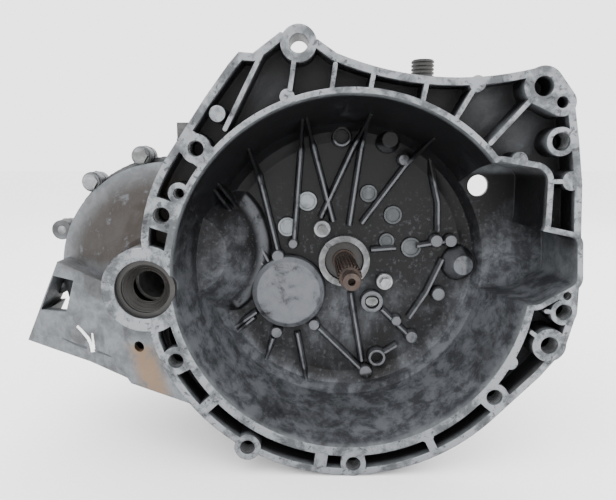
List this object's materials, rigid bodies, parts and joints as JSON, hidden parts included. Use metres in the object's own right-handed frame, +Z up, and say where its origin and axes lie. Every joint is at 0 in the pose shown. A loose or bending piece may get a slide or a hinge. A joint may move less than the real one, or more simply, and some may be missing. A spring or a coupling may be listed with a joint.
{
  "type": "manual transmission",
  "caption": "Front-wheel-drive manual transaxle with an open clutch housing, synchronised gear pairs, sliding reverse idler, selector and bevel differential.",
  "frame": {"origin": "on the input shaft's axis, in the plane of the engine face that holds the part", "axes": "+X to the right and +Z up for someone who looks into the clutch housing, +Y from the engine face into the gearbox"},
  "size_m": [0.543, 0.396, 0.4097],
  "materials": {
    "cast_housing": "sand-cast, machined on the joint faces",
    "cast_case": "sand-cast",
    "cast_cover": "die-cast",
    "turned_steel": "turned",
    "gear_steel": "ground and hardened",
    "zinc_bolt": "bright zinc plate",
    "plug_steel": "pressed, zinc plated",
    "bronze": "turned bronze",
    "seal_rubber": "matt",
    "black_plastic": "moulded",
    "blue_plastic": "moulded",
    "fork_iron": "cast, machined pads",
    "diff_iron": "cast, turned journals",
    "bearing_steel": "ground",
    "cap_rubber": "ribbed"
  },
  "bodies": {
    "transaxle": {"clutch_housing": "cast_housing", "gear_case": "cast_case", "end_cover": "cast_cover", "seal_carrier": "turned_steel", "retainer_bolts": "zinc_bolt", "oil_union": "zinc_bolt", "floor_plugs": "plug_steel", "case_bolts": "zinc_bolt", "m8_bolts": "zinc_bolt", "oil_plugs": "zinc_bolt", "breather": "black_plastic", "reverse_switch": "blue_plastic", "speed_sensor": "black_plastic", "shaft_seals": "seal_rubber", "selector_tower": "cast_cover", "reverse_idler_shaft": "turned_steel", "fork_rods_fixed": "turned_steel", "input_bearings_outer": "bearing_steel", "output_bearings_outer": "bearing_steel", "diff_bearings_outer": "bearing_steel"},
    "input": {"input_shaft": "turned_steel", "third_drive_gear": "gear_steel", "fourth_drive_gear": "gear_steel", "fifth_drive_gear": "gear_steel", "input_bearings_inner": "bearing_steel"},
    "output": {"output_shaft": "turned_steel", "reverse_driven_gear": "gear_steel", "synchro_hubs": "gear_steel", "baulk_rings": "bronze", "output_bearings_inner": "bearing_steel"},
    "first_gear": {"first_gear": "gear_steel"},
    "second_gear": {"second_gear": "gear_steel"},
    "third_gear": {"third_gear": "gear_steel"},
    "fourth_gear": {"fourth_gear": "gear_steel"},
    "fifth_gear": {"fifth_gear": "gear_steel"},
    "sleeve_12": {"synchro_sleeve_12": "gear_steel"},
    "sleeve_34": {"synchro_sleeve_34": "gear_steel"},
    "sleeve_5": {"synchro_sleeve_5": "gear_steel"},
    "fork_12": {"shift_fork_12": "fork_iron"},
    "fork_34": {"shift_fork_34": "fork_iron"},
    "fork_5": {"shift_fork_5": "fork_iron", "fork_rod_5": "turned_steel"},
    "reverse_fork": {"reverse_fork": "fork_iron"},
    "reverse_idler": {"reverse_idler": "gear_steel"},
    "differential": {"diff_case": "diff_iron", "ring_gear": "gear_steel", "ring_gear_bolts": "zinc_bolt", "cross_pin": "turned_steel", "diff_bearings_inner": "bearing_steel"},
    "side_gear_left": {"side_gear_left": "gear_steel"},
    "side_gear_right": {"side_gear_right": "gear_steel"},
    "planet_gear_upper": {"planet_gear_upper": "gear_steel"},
    "planet_gear_lower": {"planet_gear_lower": "gear_steel"},
    "interlock": {"interlock_sleeve": "fork_iron"},
    "selector": {"selector_shaft": "turned_steel", "selector_finger": "fork_iron", "shift_lever": "fork_iron", "selector_cap": "cap_rubber"}
  },
  "joints": [
    {"name": "input_spin", "type": "hinge", "parent": "transaxle", "child": "input", "pos_m": [0, 0, 0], "axis": [0, 1, 0], "continuous": true},
    {"name": "diff_spin", "type": "hinge", "parent": "transaxle", "child": "differential", "pos_m": [-0.18632, 0, -0.01028], "axis": [0, 1, 0], "continuous": true},
    {"name": "output_spin", "type": "hinge", "parent": "transaxle", "child": "output", "pos_m": [-0.05904, 0, -0.03272], "axis": [0, 1, 0], "continuous": true},
    {"name": "first_gear_spin", "type": "hinge", "parent": "transaxle", "child": "first_gear", "pos_m": [-0.05904, 0, -0.03272], "axis": [0, 1, 0], "continuous": true},
    {"name": "second_gear_spin", "type": "hinge", "parent": "transaxle", "child": "second_gear", "pos_m": [-0.05904, 0, -0.03272], "axis": [0, 1, 0], "continuous": true},
    {"name": "third_gear_spin", "type": "hinge", "parent": "transaxle", "child": "third_gear", "pos_m": [-0.05904, 0, -0.03272], "axis": [0, 1, 0], "continuous": true},
    {"name": "fourth_gear_spin", "type": "hinge", "parent": "transaxle", "child": "fourth_gear", "pos_m": [-0.05904, 0, -0.03272], "axis": [0, 1, 0], "continuous": true},
    {"name": "fifth_gear_spin", "type": "hinge", "parent": "transaxle", "child": "fifth_gear", "pos_m": [-0.05904, 0, -0.03272], "axis": [0, 1, 0], "continuous": true},
    {"name": "fork_12_slide", "type": "slide", "parent": "transaxle", "child": "fork_12", "axis": [0, 1, 0], "range_m": [-0.0075, 0.0075]},
    {"name": "sleeve_12_slide", "type": "slide", "parent": "output", "child": "sleeve_12", "axis": [0, 1, 0], "range_m": [-0.0075, 0.0075]},
    {"name": "fork_5_slide", "type": "slide", "parent": "transaxle", "child": "fork_5", "axis": [0, 1, 0], "range_m": [0, 0.0075]},
    {"name": "sleeve_5_slide", "type": "slide", "parent": "output", "child": "sleeve_5", "axis": [0, 1, 0], "range_m": [0, 0.0075]},
    {"name": "select_slide", "type": "slide", "parent": "transaxle", "child": "interlock", "axis": [0, 0, 1], "range_m": [-0.01, 0.01]},
    {"name": "shift_turn", "type": "hinge", "parent": "interlock", "child": "selector", "pos_m": [0.088, 0.15, 0.079], "axis": [0, 0, -1], "range_deg": [-13.5, 13.5]},
    {"name": "fork_34_slide", "type": "slide", "parent": "transaxle", "child": "fork_34", "axis": [0, 1, 0], "range_m": [-0.0076, 0.0076]},
    {"name": "sleeve_34_slide", "type": "slide", "parent": "output", "child": "sleeve_34", "axis": [0, 1, 0], "range_m": [-0.0076, 0.0076]},
    {"name": "reverse_fork_slide", "type": "slide", "parent": "transaxle", "child": "reverse_fork", "axis": [0, 1, 0], "range_m": [0, 0.019]},
    {"name": "reverse_idler_spin", "type": "hinge", "parent": "reverse_fork", "child": "reverse_idler", "pos_m": [0.0125, 0.137, -0.04088], "axis": [0, 1, 0], "continuous": true},
    {"name": "side_gear_left_spin", "type": "hinge", "parent": "differential", "child": "side_gear_left", "pos_m": [-0.18632, 0.163, -0.01028], "axis": [0, 1, 0], "continuous": true},
    {"name": "side_gear_right_spin", "type": "hinge", "parent": "differential", "child": "side_gear_right", "pos_m": [-0.18632, 0.163, -0.01028], "axis": [0, 1, 0], "continuous": true},
    {"name": "planet_upper_spin", "type": "hinge", "parent": "differential", "child": "planet_gear_upper", "pos_m": [-0.18632, 0.163, -0.01028], "axis": [0, 0, 1], "continuous": true},
    {"name": "planet_lower_spin", "type": "hinge", "parent": "differential", "child": "planet_gear_lower", "pos_m": [-0.18632, 0.163, -0.01028], "axis": [0, 0, 1], "continuous": true}
  ],
  "couplings": [
    {"joint": "output_spin", "follows": "diff_spin", "ratio": -3.7},
    {"joint": "first_gear_spin", "follows": "input_spin", "ratio": -0.30435},
    {"joint": "second_gear_spin", "follows": "input_spin", "ratio": -0.5},
    {"joint": "third_gear_spin", "follows": "input_spin", "ratio": -0.71429},
    {"joint": "fourth_gear_spin", "follows": "input_spin", "ratio": -1},
    {"joint": "fifth_gear_spin", "follows": "input_spin", "ratio": -1.4},
    {"joint": "sleeve_12_slide", "follows": "fork_12_slide", "ratio": 1},
    {"joint": "sleeve_5_slide", "follows": "fork_5_slide", "ratio": 1},
    {"joint": "fork_34_slide", "follows": "shift_turn", "m_per_rad": 0.032},
    {"joint": "sleeve_34_slide", "follows": "shift_turn", "m_per_rad": 0.032},
    {"joint": "side_gear_right_spin", "follows": "side_gear_left_spin", "ratio": -1},
    {"joint": "planet_upper_spin", "follows": "side_gear_left_spin", "ratio": 1.4},
    {"joint": "planet_lower_spin", "follows": "side_gear_left_spin", "ratio": -1.4}
  ]
}
